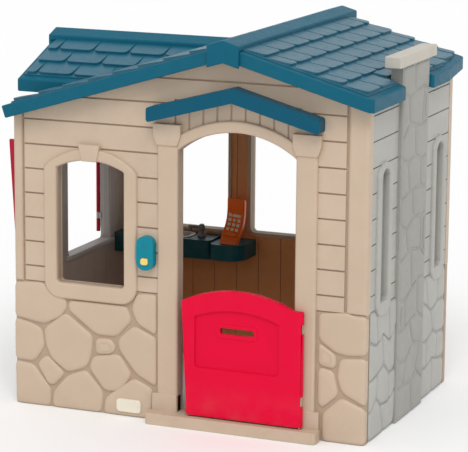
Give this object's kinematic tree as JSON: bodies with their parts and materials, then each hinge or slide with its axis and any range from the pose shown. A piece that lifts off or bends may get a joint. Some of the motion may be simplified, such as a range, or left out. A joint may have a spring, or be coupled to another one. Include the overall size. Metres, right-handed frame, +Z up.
{
  "type": "toy playhouse",
  "caption": "Moulded plastic playhouse with stone and plank walls, shingled gable roof, porch hood, half door, shutters, doorbell, sink and toy phone.",
  "frame": {"origin": "middle of the whole object's footprint, on the floor, with the shutters open as they stand", "axes": "+X to the right along the front wall as seen from outside the door, +Y from the front wall towards the back wall, +Z up"},
  "size_m": [1.4461, 1.097, 1.276],
  "materials": {
    "tan_plastic": "satin, fine moulded grain",
    "grey_plastic": "satin, fine moulded grain",
    "stone_grey_plastic": "satin, faintly mottled like cast stone",
    "cap_stone_plastic": "satin",
    "roof_blue_plastic": "semi-gloss",
    "hood_blue_plastic": "semi-gloss",
    "door_red_plastic": "semi-gloss",
    "shutter_red_plastic": "semi-gloss",
    "bell_teal_plastic": "semi-gloss",
    "badge_plastic": "semi-gloss",
    "button_yellow_plastic": "semi-gloss",
    "circuit_board": "semi-gloss",
    "zinc_steel": "zinc plated",
    "battery_foil": "smooth printed sleeve, no text",
    "counter_teal_plastic": "semi-gloss",
    "cradle_teal_plastic": "semi-gloss",
    "phone_orange_plastic": "semi-gloss",
    "key_cream_plastic": "satin",
    "sink_grey_plastic": "satin",
    "tap_grey_plastic": "semi-gloss"
  },
  "bodies": {
    "house": {"back_wall": "tan_plastic", "badge_plate": "badge_plastic", "chimney_cap": "cap_stone_plastic", "counter_screw_left": "zinc_steel", "counter_screw_right": "zinc_steel", "cradle_screw": "zinc_steel", "door_hinge_lower": "tan_plastic", "door_hinge_rod": "zinc_steel", "door_hinge_upper": "tan_plastic", "door_sill": "tan_plastic", "doorbell_base": "bell_teal_plastic", "doorbell_battery_left": "battery_foil", "doorbell_battery_right": "battery_foil", "doorbell_circuit_board": "circuit_board", "doorbell_cover": "bell_teal_plastic", "doorbell_speaker": "zinc_steel", "front_wall": "tan_plastic", "hood_screw_left": "zinc_steel", "hood_screw_right": "zinc_steel", "kitchen_counter": "counter_teal_plastic", "left_wall": "grey_plastic", "phone_cradle": "cradle_teal_plastic", "porch_hood": "hood_blue_plastic", "ridge_cap_main": "roof_blue_plastic", "ridge_cap_side": "roof_blue_plastic", "right_wall": "stone_grey_plastic", "roof_panel_left": "roof_blue_plastic", "roof_panel_right": "roof_blue_plastic", "roof_side_gable": "roof_blue_plastic", "shutter_front_hinge_lower": "grey_plastic", "shutter_front_hinge_upper": "grey_plastic", "shutter_front_rod": "zinc_steel", "shutter_rear_hinge_lower": "grey_plastic", "shutter_rear_hinge_upper": "grey_plastic", "shutter_rear_rod": "zinc_steel", "sink_basin": "sink_grey_plastic", "tap_base": "tap_grey_plastic"},
    "door": {"half_door": "door_red_plastic"},
    "front_shutter": {"shutter_front": "shutter_red_plastic"},
    "rear_shutter": {"shutter_rear": "shutter_red_plastic"},
    "bell_button": {"doorbell_button": "button_yellow_plastic"},
    "spout": {"tap_spout": "tap_grey_plastic"},
    "handset": {"phone_handset": "phone_orange_plastic", "phone_keypad": "key_cream_plastic"}
  },
  "joints": [
    {"name": "half_door_hinge", "type": "hinge", "parent": "house", "child": "door", "pos_m": [0.48607, -0.5075, 0.24], "axis": [0, 0, 1], "range_deg": [0, 110]},
    {"name": "front_shutter_hinge", "type": "hinge", "parent": "house", "child": "front_shutter", "pos_m": [-0.55493, -0.1615, 0.64], "axis": [0, 0, 1], "range_deg": [-93, 75]},
    {"name": "rear_shutter_hinge", "type": "hinge", "parent": "house", "child": "rear_shutter", "pos_m": [-0.55493, 0.1785, 0.64], "axis": [0, 0, 1], "range_deg": [-25, 155]},
    {"name": "bell_button_press", "type": "slide", "parent": "house", "child": "bell_button", "axis": [0, 1, 0], "range_m": [0, 0.003], "stiffness_N_per_m": 400, "springref_m": -0.002},
    {"name": "tap_spout_swivel", "type": "hinge", "parent": "house", "child": "spout", "pos_m": [-0.18963, 0.2692, 0.486], "axis": [0, 0, 1], "range_deg": [-70, 70]},
    {"name": "handset_lift", "type": "slide", "parent": "house", "child": "handset", "axis": [0.1014, 0.2419, 0.965], "range_m": [0, 0.09]}
  ]
}
